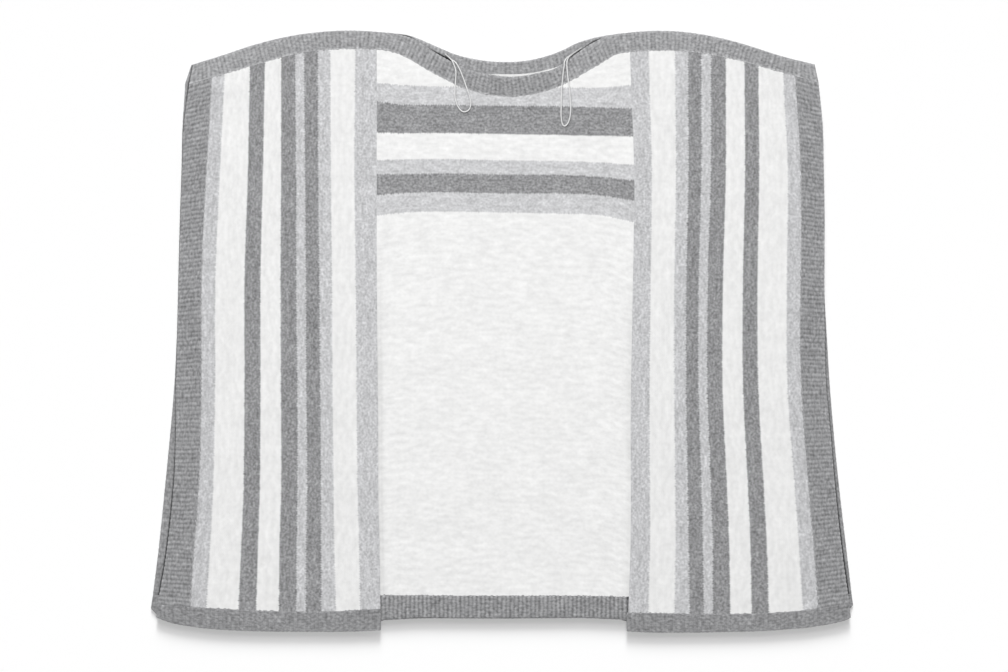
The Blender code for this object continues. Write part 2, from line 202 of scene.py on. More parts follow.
def new_material(name, settings):
    """A material with plain shader settings, its node tree and its shader."""
    material = bpy.data.materials.new(name)
    material.use_nodes = True
    shader = material.node_tree.nodes["Principled BSDF"]
    for socket, value in settings.items():
        shader.inputs[socket].default_value = value
    return material, Tree(material.node_tree), shader


def geometry_tree(name, whole_numbers, numbers):
    """An empty Geometry Nodes tree, the wires of its named inputs, and a function that ends it."""
    group = bpy.data.node_groups.new(name, "GeometryNodeTree")
    kinds = {"Geometry": "Geometry", **dict.fromkeys(whole_numbers, "Int"), **dict.fromkeys(numbers, "Float")}
    kinds["Material"] = "Material"
    for label, kind in kinds.items():
        group.interface.new_socket(label, in_out="INPUT", socket_type="NodeSocket" + kind)
    group.interface.new_socket("Geometry", in_out="OUTPUT", socket_type="NodeSocketGeometry")
    tree = Tree(group)
    start = tree.add("NodeGroupInput")
    given = {label: start.out(label) for label in kinds}

    def end(geometry):
        real = tree.add("GeometryNodeRealizeInstances", None, {"Geometry": geometry})
        dyed = tree.add("GeometryNodeSetMaterial", None, {"Geometry": real, "Material": given["Material"]})
        tree.add("NodeGroupOutput", None, {0: dyed})
        return group

    return tree, given, end


def grow(name, mesh, group, values):
    """Run a Geometry Nodes tree on a mesh and keep the result as a plain mesh object."""
    seed = add_object(name + "_seed", mesh)
    modifier = seed.modifiers.new("grow", "NODES")
    modifier.node_group = group
    for item in group.interface.items_tree:
        if item.in_out == "INPUT" and item.name in values:
            modifier[item.identifier] = values[item.name]
    evaluated = seed.evaluated_get(bpy.context.evaluated_depsgraph_get())
    grown = bpy.data.meshes.new_from_object(evaluated)
    grown.name = name
    bpy.data.objects.remove(seed)
    return add_object(name, grown)


# %% [markdown]
# ## Outlines, read from the solids
#
# A shell follows its solid, so its outline isn't written down again. The underside of each solid is flat, and
# the edges that only one of its faces uses run round it once. The four sharpest turns are the piece's
# corners, and they part the loop into a top, a bottom, a left and a right side.

# %% The outline of a solid
SAME_POINT = 0.01 * MM
# The solids keep 0.3 mm between them. The shells reach out this far from each side, so a seam lies closed.
SEAM_CLOSE = 0.148 * MM
Outline = namedtuple("Outline", "top bottom left right")


def underside_loop(node):
    """The outline of a solid's flat underside, as plan points in order, in metres."""
    bm = bmesh.new()
    bm.from_mesh(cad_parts[node].data)
    bmesh.ops.remove_doubles(bm, verts=bm.verts, dist=SAME_POINT)
    lowest = min(vertex.co.z for vertex in bm.verts) + SAME_POINT
    under = {face for face in bm.faces if max(vertex.co.z for vertex in face.verts) < lowest}
    rim = [edge for edge in bm.edges if sum(face in under for face in edge.link_faces) == 1]
    rim = [edge for edge in rim if max(vertex.co.z for vertex in edge.verts) < lowest]
    neighbours = {}
    for edge in rim:
        for here, there in (edge.verts, reversed(edge.verts)):
            neighbours.setdefault(here, []).append(there)
    loop = [rim[0].verts[0]]
    previous = None
    while previous is None or loop[-1] is not loop[0]:
        following = [vertex for vertex in neighbours[loop[-1]] if vertex is not previous]
        previous = loop[-1]
        loop.append(following[0])
    points = [vertex.co.xy.copy() for vertex in loop[:-1]]
    bm.free()
    return points


def turn_at(loop, index):
    before = loop[index] - loop[index - 1]
    after = loop[(index + 1) % len(loop)] - loop[index]
    return before.angle(after)


def side_between(loop, corners, start, end):
    """The points from one corner to the next, whichever way round has no other corner on it."""
    for way in (1, -1):
        walk = [start]
        while walk[-1] != end:
            walk.append((walk[-1] + way) % len(loop))
        if not set(walk[1:-1]) & set(corners):
            return [loop[index] for index in walk]


def signed_area(loop):
    """The area inside a closed outline, negative where it runs clockwise."""
    return sum(a.x * b.y - b.x * a.y for a, b in pairwise([*loop, loop[0]])) / 2


def let_out(loop, distance):
    """A closed outline moved outwards by a distance."""
    outwards = 1 if signed_area(loop) > 0 else -1
    moved = []
    for index, point in enumerate(loop):
        before = (point - loop[index - 1]).normalized()
        after = (loop[(index + 1) % len(loop)] - point).normalized()
        normals = [Vector((way.y, -way.x)) * outwards for way in (before, after)]
        both = normals[0] + normals[1]
        moved.append(point + both * (distance / (1 + normals[0].dot(normals[1]))))
    return moved


# Cloth pulled a little off its place: where, how far round it that reaches, and how far it moved, in mm.
Pull = namedtuple("Pull", "nodes x y wide high aside up")
PULLS = (
    Pull(("front_neck_band", "front_left_side_band"), -360, 302, 12, 16, 2.1, 0.0),
    Pull(("back_left_side_band",), -365, 262, 14, 26, -1.2, 0.0),
    Pull(("back_neck_band",), -365, 296, 9, 12, -0.7, 0.0),
    Pull(("front_neck_band",), 104, 332, 9, 9, 0.0, -1.6),
    Pull(("back_neck_band", "back_panel"), 2, 297, 50, 7, 0.0, 0.6),
    Pull(("back_neck_band", "back_panel"), 62, 304, 22, 7, 0.0, 0.9),
)


def pulled(point, node):
    moved = point.copy()
    for pull in PULLS:
        if node in pull.nodes:
            across = (point.x / MM - pull.x) / pull.wide
            up = (point.y / MM - pull.y) / pull.high
            moved += Vector((pull.aside, pull.up)) * MM * math.exp(-(across**2) - up**2)
    return moved


def outline(node):
    loop = [pulled(point, node) for point in let_out(underside_loop(node), SEAM_CLOSE)]
    corners = sorted(range(len(loop)), key=lambda index: turn_at(loop, index))[-4:]
    top_left = max(corners, key=lambda index: loop[index].y - loop[index].x)
    top_right = max(corners, key=lambda index: loop[index].y + loop[index].x)
    bottom_left = min(corners, key=lambda index: loop[index].y + loop[index].x)
    bottom_right = min(corners, key=lambda index: loop[index].y - loop[index].x)
    return Outline(
        side_between(loop, corners, top_left, top_right),
        side_between(loop, corners, bottom_left, bottom_right),
        side_between(loop, corners, top_left, bottom_left),
        side_between(loop, corners, top_right, bottom_right),
    )


outlines = {node: outline(node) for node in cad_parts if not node.startswith("hanger_loop")}
print("outlines read:", len(outlines))

# %% [markdown]
# ## Smooth lines
#
# The solids have straight stretches between their points. A shell's edges run on smooth curves through the
# same points. Two facing sides share their steps, so a rib starts and ends where the solid's does.

# %% Smooth lines
def cubic(knots, values, position):
    """Read a smooth curve through (knot, value) pairs, straight beyond its ends."""
    last = len(knots) - 1
    slopes = []
    for index in range(last + 1):
        before, after = max(index - 1, 0), min(index + 1, last)
        slopes.append((values[after] - values[before]) / (knots[after] - knots[before]))
    if position <= knots[0]:
        return values[0] + slopes[0] * (position - knots[0])
    if position >= knots[last]:
        return values[last] + slopes[last] * (position - knots[last])
    start = max(index for index in range(last) if knots[index] <= position)
    width = knots[start + 1] - knots[start]
    t = (position - knots[start]) / width
    return (
        values[start] * (2 * t**3 - 3 * t**2 + 1)
        + slopes[start] * (width * (t**3 - 2 * t**2 + t))
        + values[start + 1] * (3 * t**2 - 2 * t**3)
        + slopes[start + 1] * (width * (t**3 - t**2))
    )


def lengths_along(points):
    """The length of the line through the points, up to each of them."""
    return list(accumulate(((b - a).length for a, b in pairwise(points)), initial=0.0))


def steps_along(points):
    """How far along a line each of its points lies, from 0 to 1."""
    reached = lengths_along(points)
    return [length / reached[-1] for length in reached]


def paired_steps(one, other):
    """The steps of two facing sides: the same ones for both where their points face each other."""
    if len(one) != len(other):
        return steps_along(one), steps_along(other)
    shared = steps_along([(a + b) / 2 for a, b in zip(one, other)])
    return shared, shared


def smooth_side(points, steps):
    """A function that gives the point at a step. The curve is the side's own, however it is paired."""
    own = steps_along(points)

    def read(share):
        index = max(place for place in range(len(steps) - 1) if steps[place] <= share or place == 0)
        part = (share - steps[index]) / (steps[index + 1] - steps[index])
        return cubic(own, points, own[index] + part * (own[index + 1] - own[index]))

    return read


def spaced(length, step, insets):
    """Places from 0 to length at even steps, with closer ones at the given insets from both ends."""
    first, last = insets[-1], length - insets[-1]
    count = max(1, round((last - first) / step))
    middle = [first + (last - first) * index / count for index in range(count + 1)]
    return [*insets[:-1], *middle, *(length - inset for inset in reversed(insets[:-1]))]


# %% [markdown]
# ## The light
#
# The garment lies on a white table in wide, soft light. Its soft shadow shows below the hems alone, so the
# light on the table comes in low from the neck's side. Light as low as that would carve the ribs too deep. So
# one group of lamps is linked to the table, and the other to everything else. A weak sky fills what is left.

# %% Light and floor
# A lamp's share is the light that it gives a level surface, where 1 makes white paper full white. Its height
# is over the horizon, its turn is from the neck's side to the left, and its spread is how wide it looks. A
# softbox also has a distance, so the cloth near it is a little lighter; the others are as far as a sun.
Lamp = namedtuple("Lamp", "name share height turn spread group distance", defaults=(None,))
LAMPS = (
    Lamp("cloth_key", 0.50, 50, 12, 40, "all_but_table", 5.4),
    Lamp("cloth_fill", 0.38, 90, 0, 150, "all_but_table"),
    Lamp("table_low", 0.31, 16, 0, 14, "table_alone"),
    Lamp("table_soft", 0.21, 24, 0, 42, "table_alone"),
    Lamp("table_fill", 0.35, 90, 0, 8, "table_alone"),
)
SKY_SHARE = 0.16
FLOOR_SIZE = 12.0
TABLE_SHADER = {"Base Color": (0.97, 0.97, 0.97, 1.0), "Roughness": 1.0, "Specular IOR Level": 0.0}


def add_sky():
    world = bpy.data.worlds.new("soft_sky")
    world.use_nodes = True
    sky = world.node_tree.nodes["Background"]
    sky.inputs["Color"].default_value = (1.0, 1.0, 1.0, 1.0)
    sky.inputs["Strength"].default_value = SKY_SHARE
    bpy.context.scene.world = world


def add_lamp(lamp, groups):
    data = bpy.data.lights.new(lamp.name, "AREA" if lamp.distance else "SUN")
    light = add_object(lamp.name, data)
    light.rotation_euler = (math.radians(lamp.height - 90), 0.0, math.radians(lamp.turn))
    data.energy = lamp.share * math.pi / math.sin(math.radians(lamp.height))
    if lamp.distance:
        data.shape = "DISK"
        data.size = 2 * lamp.distance * math.tan(math.radians(lamp.spread) / 2)
        data.energy *= math.pi * lamp.distance**2 + math.pi * data.size**2 / 4
        light.location = light.rotation_euler.to_matrix() @ Vector((0.0, 0.0, lamp.distance))
    else:
        data.angle = math.radians(lamp.spread)
    light.light_linking.receiver_collection = groups[lamp.group]


def light_groups(floor):
    """Two groups for light linking: the table alone, and all but the table."""
    groups = {}
    for name, state in (("table_alone", "INCLUDE"), ("all_but_table", "EXCLUDE")):
        group = bpy.data.collections.new(name)
        group.objects.link(floor)
        group.collection_objects[0].light_linking.link_state = state
        groups[name] = group
    return groups


def add_floor():
    half = FLOOR_SIZE / 2
    corners = [(-half, -half, 0.0), (half, -half, 0.0), (half, half, 0.0), (-half, half, 0.0)]
    mesh = bpy.data.meshes.new("floor")
    mesh.from_pydata(corners, [], [(0, 1, 2, 3)])
    mesh.materials.append(new_material("white_table", TABLE_SHADER)[0])
    floor = add_object("floor", mesh)
    return floor


add_sky()
groups = light_groups(add_floor())
for lamp in LAMPS:
    add_lamp(lamp, groups)
bpy.context.scene.view_settings.view_transform = "Standard"
print("lamps:", [lamp.name for lamp in LAMPS])

# %% [markdown]
# ## The yarn
#
# The yarn is flecked: paler and darker fibres spun together, so a row of stitches shows short streaks. Every
# shell carries a point attribute, "cloth": how far along the row of stitches a point lies, how far across the
# rows, and the painted light or shade of its place in the relief, round 1. Streaks, stitches and stripes all
# read it, so they turn with the knitting: across in the centre panel, and up and down in the side panels.

# %% Yarn shades
# Display tones out of 255: the yarn's own, and how far long streaks and small specks stray from it.
Yarn = namedtuple("Yarn", "tone streak speck")
WHITE = Yarn(240, 20, 9)
SIDE_WHITE = Yarn(236.5, 17, 8)
LIGHT = Yarn(201.5, 30, 52)
OUTER_LIGHT = Yarn(199, 32, 46)
DARK = Yarn(149, 30, 64)
CENTRE_LIGHT = Yarn(206, 30, 42)
CENTRE_DARK = Yarn(151, 24, 66)
NECK_GREY = Yarn(162, 26, 62)
BACK_NECK_GREY = Yarn(159, 26, 58)
SIDE_GREY = Yarn(150, 28, 56)
HEM_GREY = Yarn(146, 26, 58)
RIBBED_HEM_GREY = Yarn(151, 34, 62)
# The off-white is a touch warm and the greys are a touch cool.
WARM = (1.0, 1.0, 0.996, 1.0)
COOL = (0.976, 0.979, 1.0, 1.0)
PALEST_GREY, GREY_STEP = 0.86, 0.125

# The lamps make full white of white, so a tone in the render is the tone written here.
DISPLAY_GAMMA = 2.2
DARKEST = 0.02
KNIT_SHADER = {"Roughness": 0.95, "Specular IOR Level": 0.12, "Sheen Weight": 0.1, "Sheen Roughness": 0.6}
# The names of the point attributes.
CLOTH, GAP, TO_BAND = "cloth", "gap", "to_band"

STITCH_WIDTH, STITCH_HEIGHT, STITCH_SLANT = 2.8 * MM, 2.0 * MM, 0.8
# Painted shade: STITCH_SHADE darkens the low places of the stitches, and GROOVE_SHADE sets how much a place's
# painted light and shade changes the tone.
STITCH_RELIEF, STITCH_SHADE, GROOVE_SHADE = 0.35 * MM, 0.03, 0.14
# Where two pieces meet, the last stitches of one reach into the other, so the border is ragged and pale.
RAGGED, RAGGED_REACH, RAGGED_MIDDLE, RAGGED_LIFT = 2.4 * MM, 2.6 * MM, 0.35 * MM, 26
# How long and how wide the marks of the yarn are, and how much each kind adds. On ribs they run up the ribs.
Mark = namedtuple("Mark", "length width share")
Marks = namedtuple("Marks", "streaks specks bump")
PLAIN_MARKS = Marks(
    (Mark(14 * MM, 5.2 * MM, 1.0), Mark(5.5 * MM, 4.6 * MM, 0.6), Mark(42 * MM, 30 * MM, 0.4)),
    (Mark(2.9 * MM, 2.5 * MM, 1.0), Mark(1.3 * MM, 1.3 * MM, 0.5)),
    0.35,
)
RIB_MARKS = Marks(
    (Mark(2.6 * MM, 16 * MM, 1.0), Mark(42 * MM, 30 * MM, 0.4)),
    (Mark(2.4 * MM, 2.5 * MM, 1.0), Mark(1.2 * MM, 1.2 * MM, 0.5)),
    0.2,
)
SINGLE_STITCHES = 0.25
FUZZ = Mark(0.9 * MM, 0.8 * MM, 0.5)
# Places far apart in the noise, so that no two kinds of mark repeat each other.
SPECK_SEED, FUZZ_SEED, NEXT_MARK, NEXT_WANDER = 30.0, 40.0, 7.0, 3.0


# %% The knit finish
def stitch_relief(tree, column, row):
    """The relief of plain knitting: two slanted legs to a stitch, like a V, in rows and columns."""
    leg = tree.math("SINE", column.math("FRACT") * (2 * math.pi)).math("ABSOLUTE") ** 0.5
    bead = tree.math("SINE", row.math("FRACT") * math.pi).math("MAXIMUM", 0.0) ** 0.5
    return leg * bead


def striped(tree, place, borders, values):
    """A value that changes from one to the next at each border."""
    total = values[0]
    for border, (here, there) in zip(borders, pairwise(values)):
        total = tree.step(place, border, BORDER_SOFTNESS) * (there - here) + total
    return total


def summed(tree, marks, along, across, seed):
    """The marks of one kind, as noise round 0."""
    total = 0.0
    for number, mark in enumerate(marks):
        spot = tree.point(along / mark.length, across / mark.width, seed + NEXT_MARK * number)
        total = tree.noise(spot, 0.0) * mark.share + total
    return total


def knit_finish(name, yarns, borders=(), seed=0.0, ribbed=False, gap=False):
    """A material of knitting in one yarn, or in stripes of several."""
    material, tree, shader = new_material(name, KNIT_SHADER)
    along, across, level = tree.split(tree.stored(CLOTH))
    kinds = RIB_MARKS if ribbed else PLAIN_MARKS

    column = along / STITCH_WIDTH
    slant = (column.math("FRACT") * 2 - 1).math("ABSOLUTE") * STITCH_SLANT
    row = across / STITCH_HEIGHT - slant
    relief = stitch_relief(tree, column, row)
    # A stripe starts with a row, so its border steps up and down with the stitches.
    place = across - (slant - STITCH_SLANT / 2) * STITCH_HEIGHT
    for number, wander in enumerate(BORDER_WANDER):
        shift = tree.noise(tree.point(along / wander.length, seed, NEXT_WANDER * number), 0.0)
        place = shift * wander.width + place
    tone, streak, speck = (
        striped(tree, place, borders, [number / 255 for number in numbers]) for numbers in zip(*yarns)
    )

    cell = tree.point(column.math("FLOOR"), row.math("FLOOR"), seed)
    chance = tree.add("ShaderNodeTexWhiteNoise", {"noise_dimensions": "3D"}, {"Vector": cell})
    streaks = summed(tree, kinds.streaks, along, across, seed)
    specks = summed(tree, kinds.specks, along, across, seed + SPECK_SEED) + (chance - 0.5) * SINGLE_STITCHES

    # The ragged border at a band's seam.
    position = tree.add("ShaderNodeTexCoord").out("Object")
    ragged = tree.noise(tree.vectors("SCALE", {0: position, "Scale": 1 / RAGGED}), 0.0) * RAGGED_REACH
    if ribbed:
        pale = 1 - tree.step(across + ragged, RAGGED_MIDDLE, RAGGED_MIDDLE)
        tone = pale * (RAGGED_LIFT / 255) + tone
    else:
        greyed = 1 - tree.step(tree.stored(TO_BAND, "Fac") + ragged, RAGGED_MIDDLE, RAGGED_MIDDLE)
        tone = greyed * (SIDE_GREY.tone / 255 - tone) + tone
    # Painted shade and light: the stitches' low places darker, plus the painted light and shade of the place
    # in the relief.
    shade = streaks * streak + specks * speck + tone - (1 - relief) * STITCH_SHADE + (level - 1) * GROOVE_SHADE
    # Painted shadow: beside the front's free edge the back is painted darker, as the shade in the gap between
    # them.
    if gap:
        beside, openness, _ = tree.split(tree.stored(GAP))
        shadow = tree.bump(beside, GAP_MIDDLE, (openness + GAP_LEAST) * GAP_WIDTH) * openness
        shade = shade * (1 - shadow)
    light = shade.math("MAXIMUM", DARKEST) ** DISPLAY_GAMMA
    tint = tree.mix_colours(WARM, COOL, 1 - tree.step(tone, PALEST_GREY, GREY_STEP))
    colour = tree.mix_colours(tree.grey(light), tint, 1.0, "MULTIPLY")

    fuzz_place = tree.point(along / FUZZ.length, across / FUZZ.width, seed + FUZZ_SEED)
    fuzz = tree.noise(fuzz_place, 3.0) * FUZZ.share
    bump = tree.add(
        "ShaderNodeBump", None, {"Strength": kinds.bump, "Distance": STITCH_RELIEF, "Height": relief + fuzz}
    )
    tree.feed(shader.inputs["Base Color"], colour)
    tree.feed(shader.inputs["Normal"], bump)
    return material


# %% [markdown]
# ## The stripes
#
# The side panels are knitted sideways, so their stripes run down. The garment isn't quite straight, and the
# borders drift with it: the tables give their places at several heights. The centre's stripes run across.

# %% Stripe borders
# Each row: a height, then the borders' places at it from left to right, in millimetres.
LEFT_BORDERS = (
    (280, -319.7, -290.3, -273.1, -253.9, -237.7, -227.4, -211.7, -197.3, -169.0),
    (180, -324.5, -292.3, -275.0, -254.0, -236.7, -226.4, -211.4, -196.8, -169.8),
    (60, -329.7, -296.1, -277.8, -254.6, -236.6, -225.4, -210.2, -195.6, -168.2),
    (-60, -330.0, -296.1, -277.8, -254.2, -235.3, -225.1, -209.1, -195.0, -167.3),
    (-180, -332.1, -297.2, -278.6, -253.8, -235.1, -223.9, -208.1, -193.7, -166.1),
    (-240, -335.4, -299.5, -280.4, -255.7, -236.0, -225.2, -208.1, -193.0, -164.5),
    (-300, -338.9, -302.2, -282.2, -256.3, -236.4, -225.5, -207.9, -191.4, -163.5),
)
RIGHT_BORDERS = (
    (280, 169.7, 199.2, 214.2, 229.1, 240.5, 257.4, 279.0, 295.0, 324.0),
    (180, 172.2, 200.0, 214.4, 229.2, 240.3, 257.3, 279.4, 295.6, 328.8),
    (60, 170.9, 198.2, 212.0, 226.3, 236.7, 254.1, 277.1, 293.8, 327.6),
    (-60, 169.7, 198.0, 211.8, 225.9, 236.1, 253.5, 277.1, 294.6, 328.2),
    (-180, 169.9, 199.2, 213.5, 229.3, 240.3, 258.6, 282.9, 300.9, 336.7),
    (-240, 170.2, 199.5, 214.7, 230.8, 242.3, 261.1, 285.5, 304.2, 341.1),
    (-300, 168.7, 198.6, 215.5, 231.8, 242.6, 262.1, 286.7, 306.1, 344.8),
)
# Each row: a place across the garment, then the borders' heights at it from the lowest to the highest.
CENTRE_BORDERS = (
    (-138, 133.7, 157.1, 180.7, 197.0, 228.4, 264.0, 285.4),
    (-117, 136.4, 158.9, 181.0, 197.7, 228.0, 261.0, 283.5),
    (-71, 138.0, 160.3, 181.5, 198.4, 228.2, 260.5, 281.6),
    (0, 136.8, 158.7, 180.5, 196.8, 227.1, 259.6, 281.2),
    (67, 135.4, 158.8, 180.0, 196.0, 225.9, 258.9, 280.6),
    (113, 133.7, 156.6, 177.9, 194.3, 225.1, 257.6, 280.4),
    (147, 126.4, 151.0, 174.1, 191.8, 224.4, 256.3, 283.5),
)
LEFT_YARNS = (OUTER_LIGHT, SIDE_WHITE, DARK, SIDE_WHITE, DARK, LIGHT, DARK, LIGHT, SIDE_WHITE, LIGHT)
RIGHT_YARNS = (LIGHT, SIDE_WHITE, LIGHT, DARK, LIGHT, DARK, SIDE_WHITE, DARK, SIDE_WHITE, OUTER_LIGHT)
CENTRE_YARNS = (WHITE, CENTRE_LIGHT, CENTRE_DARK, CENTRE_LIGHT, WHITE, CENTRE_DARK, CENTRE_LIGHT, WHITE)
BORDER_SOFTNESS = 0.5 * MM
# How the borders waver: how long the waves are and how wide.
Wander = namedtuple("Wander", "length width")
BORDER_WANDER = (Wander(8 * MM, 1.6 * MM), Wander(2.8 * MM, 2.0 * MM))
# Where the back shows beside the front's free edge: the middle and the width of the painted shadow in the gap.
GAP_MIDDLE, GAP_WIDTH, GAP_LEAST = 0.5 * MM, 1.0 * MM, 0.6


def borders_at(table, along):
    """The borders' places where the stripes are cut at `along`, in millimetres."""
    rows = sorted(table)
    knots = [row[0] for row in rows]
    columns = list(zip(*rows))[1:]
    return [cubic(knots, column, along) for column in columns]


def course(table, along, across):
    """Where a point lies across the rows of stitches, measured as at the garment's middle."""
    here, straight = borders_at(table, along), borders_at(table, 0.0)
    if across <= here[0]:
        return straight[0] + across - here[0]
    if across >= here[-1]:
        return straight[-1] + across - here[-1]
    index = max(index for index in range(len(here) - 1) if here[index] <= across)
    share = (across - here[index]) / (here[index + 1] - here[index])
    return straight[index] + share * (straight[index + 1] - straight[index])


def middle_borders(table):
    """The borders as they lie at the garment's middle, in metres."""
    return [place * MM for place in borders_at(table, 0.0)]


finishes = {
    "centre": knit_finish("striped_centre_knit", CENTRE_YARNS, middle_borders(CENTRE_BORDERS), 1.0),
    "left": knit_finish("striped_left_knit", LEFT_YARNS, middle_borders(LEFT_BORDERS), 21.0),
    "right": knit_finish("striped_right_knit", RIGHT_YARNS, middle_borders(RIGHT_BORDERS), 41.0),
    "back": knit_finish("off_white_back_knit", (WHITE,), seed=61.0),
}
print("knit finishes:", len(finishes))

# %% [markdown]
# ## The panels
#
# A panel is a closed sheet on its solid's outline, with closer lines near the edges. The two long seams of the
# front hardly show: a low ridge runs beside them, and further down their soft shade is painted on the centre
# panel.
# The garment was smoothed by hand, so no fold shows: the cloth has only a few very soft troughs, placed one by
# one, and a faint ripple.

# %% Levels and soft troughs
BACK_LEVEL = 0.0
FRONT_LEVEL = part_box("front_centre_panel")[0].z
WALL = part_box("back_panel")[1].z - BACK_LEVEL
PANEL_STEP = 3.2 * MM
BACK_STEP = 6.0 * MM
# The first two places are one: the rim stands upright there, and no groove shows along a seam.
INSETS = [place * MM for place in (0.0, 0.0, 0.4, 0.85, 1.5, 2.4, 3.6)]
# Two faces that meet at more than this stay a sharp edge, and points closer than this become one.
SHARP = math.radians(50)
WELD = 0.002 * MM
RIPPLE = 0.22 * MM
RIPPLE_SIZE = 70 * MM

# A trough's middle, its turn from the X axis in degrees, and its half length, half width and depth in mm.
Trough = namedtuple("Trough", "x y turn length width depth")
FRONT_TROUGHS = (
    Trough(-96, 158, 66, 92, 15, 0.26), Trough(58, 52, 103, 118, 18, 0.21),
    Trough(104, -148, 79, 84, 14, 0.28), Trough(-58, -206, 97, 66, 12, 0.24),
    Trough(-262, 92, 82, 106, 14, 0.24), Trough(-214, -170, 93, 74, 13, 0.20),
    Trough(256, -84, 98, 96, 15, 0.23), Trough(302, 148, 84, 62, 11, 0.19),
)
BACK_TROUGHS = (
    Trough(-188, 126, 74, 124, 19, 0.30), Trough(22, 18, 96, 142, 21, 0.24),
    Trough(196, -112, 105, 98, 16, 0.32), Trough(-246, -178, 88, 82, 14, 0.22),
    Trough(284, 154, 80, 70, 12, 0.26),
)


def hand_smoothed(plan, level, troughs):
    """How far the cloth's face lies above its flat level, in metres."""
    height = RIPPLE * noise.noise(Vector((plan.x, plan.y, level)) / RIPPLE_SIZE)
    for trough in troughs:
        away = plan / MM - Vector((trough.x, trough.y))
        way = math.radians(trough.turn)
        along = (away.x * math.cos(way) + away.y * math.sin(way)) / trough.length
        across = (away.y * math.cos(way) - away.x * math.sin(way)) / trough.width
        height -= trough.depth * MM * math.exp(-(along**2) - across**2)
    return height


# %% Panel shells
# How a seam looks from above: the distance from the seam, the width, how far it rises and how much painted
# shade it gets, where below 0 is painted light.
SeamLine = namedtuple("SeamLine", "place width rise shade")
LEFT_SEAM = (SeamLine(0.0, 5.5, 0.0, 0.5), SeamLine(2.2, 0.9, 0.12, -0.12), SeamLine(4.0, 0.8, -0.06, 0.1))
RIGHT_SEAM = (SeamLine(0.0, 5.0, 0.0, 0.28), SeamLine(2.2, 0.9, 0.1, 0.0))
SIDE_SEAM = (SeamLine(0.0, 0.9, 0.0, 0.12),)
# The seams' shade comes on between these heights on the garment.
SHADE_FROM, SHADE_FULL = 0.11, -0.02


def inside(sides, top, bottom, left, right, s, t):
    """A point between a point on each of four sides: s runs from left to right, t from top to bottom."""
    between_corners = (
        sides.top[0] * ((1 - s) * (1 - t))
        + sides.top[-1] * (s * (1 - t))
        + sides.bottom[0] * ((1 - s) * t)
        + sides.bottom[-1] * (s * t)
    )
    return top * (1 - t) + bottom * t + left * (1 - s) + right * s - between_corners


def seam_lines(lines, distance):
    """The rise and the shade of the lines beside a seam, at a distance from it."""
    strengths = [math.exp(-(((distance / MM - line.place) / line.width) ** 2)) for line in lines]
    rise = sum(line.rise * MM * strength for line, strength in zip(lines, strengths))
    return rise, sum(line.shade * strength for line, strength in zip(lines, strengths))


def to_nearest(bands, column, row, width, height):
    """How far a place in a panel is from the nearest band."""
    away = {"left": column, "right": width - column, "top": row, "bottom": height - row}
    return min(away[band] for band in bands.split())


Panel = namedtuple("Panel", "name level step troughs place finish bands left_seam right_seam")


def panel_shell(panel):
    """A closed sheet over a panel's outline, with its own "cloth" places on its points."""
    sides = outlines[panel.name + "_panel"]
    steps = Outline(*paired_steps(sides.top, sides.bottom), *paired_steps(sides.left, sides.right))
    width = (sides.top[-1] - sides.top[0] + sides.bottom[-1] - sides.bottom[0]).length / 2
    height = (sides.left[-1] - sides.left[0] + sides.right[-1] - sides.right[0]).length / 2
    columns = spaced(width, panel.step, INSETS)
    rows = spaced(height, panel.step, INSETS)
    count = len(rows)
    edges = [smooth_side(side, side_steps) for side, side_steps in zip(sides, steps)]
    lines = [[edge(column / width) for column in columns] for edge in edges[:2]]
    lines += [[edge(row / height) for row in rows] for edge in edges[2:]]
    middle = panel.level + WALL / 2
    tops, undersides, knit, reach = [], [], [], []

    def on_rim(across, down):
        return across in (0, len(columns) - 1) or down in (0, count - 1)

    for across, column in enumerate(columns):
        rises, shades = zip(seam_lines(panel.left_seam, column), seam_lines(panel.right_seam, width - column))
        for down, row in enumerate(rows):
            ends = [line[place] for line, place in zip(lines, (across, across, down, down))]
            plan = inside(sides, *ends, column / width, row / height)
            # The outermost points are the rim, half way up, where both sheets meet.
            sheet = 0 if on_rim(across, down) else 1
            rise = hand_smoothed(plan, panel.level, panel.troughs) + sum(rises)
            tops.append((plan.x, plan.y, middle + (WALL / 2 + rise) * sheet))
            undersides.append((plan.x, plan.y, middle - WALL / 2 * sheet))
            # Painted shade beside the long seams, coming on only low on the garment.
            shaded = min(max((SHADE_FROM - plan.y) / (SHADE_FROM - SHADE_FULL), 0.0), 1.0)
            knit.append((*panel.place(plan), 1.0 - sum(shades) * shaded))
            reach.append(to_nearest(panel.bands, column, row, width, height))
    faces = []
    for column in range(len(columns) - 1):
        for row in range(count - 1):
            corner = column * count + row
            ring = (corner, corner + 1, corner + 1 + count, corner + count)
            under = [index if on_rim(*divmod(index, count)) else index + len(tops) for index in reversed(ring)]
            faces += [ring, under]
    mesh = bpy.data.meshes.new(panel.name + "_cloth")
    mesh.from_pydata(tops + undersides, [], faces)
    places = mesh.attributes.new(CLOTH, "FLOAT_VECTOR", "POINT")
    places.data.foreach_set("vector", [number for place in knit + knit for number in place])
    mesh.attributes.new(TO_BAND, "FLOAT", "POINT").data.foreach_set("value", reach + reach)
    tidy = bmesh.new()
    tidy.from_mesh(mesh)
    bmesh.ops.remove_doubles(tidy, verts=tidy.verts, dist=WELD)
    loose = [vertex for vertex in tidy.verts if not vertex.link_faces]
    bmesh.ops.delete(tidy, geom=loose, context="VERTS")
    tidy.to_mesh(mesh)
    tidy.free()
    mesh.shade_smooth()
    mesh.set_sharp_from_angle(angle=SHARP)
    mesh.materials.append(finishes[panel.finish])
    print(mesh.name, len(mesh.polygons), "faces")
    return add_object(mesh.name, mesh)


# %% The four panels
def knitted_sideways(table):
    """Places in a panel whose stripes run down: along the garment's length, then across the borders."""
    return lambda plan: (plan.y, course(table, plan.y / MM, plan.x / MM) * MM)


def knitted_upright(table):
    """Places in a panel whose stripes run across."""
    return lambda plan: (plan.x, course(table, plan.x / MM, plan.y / MM) * MM)


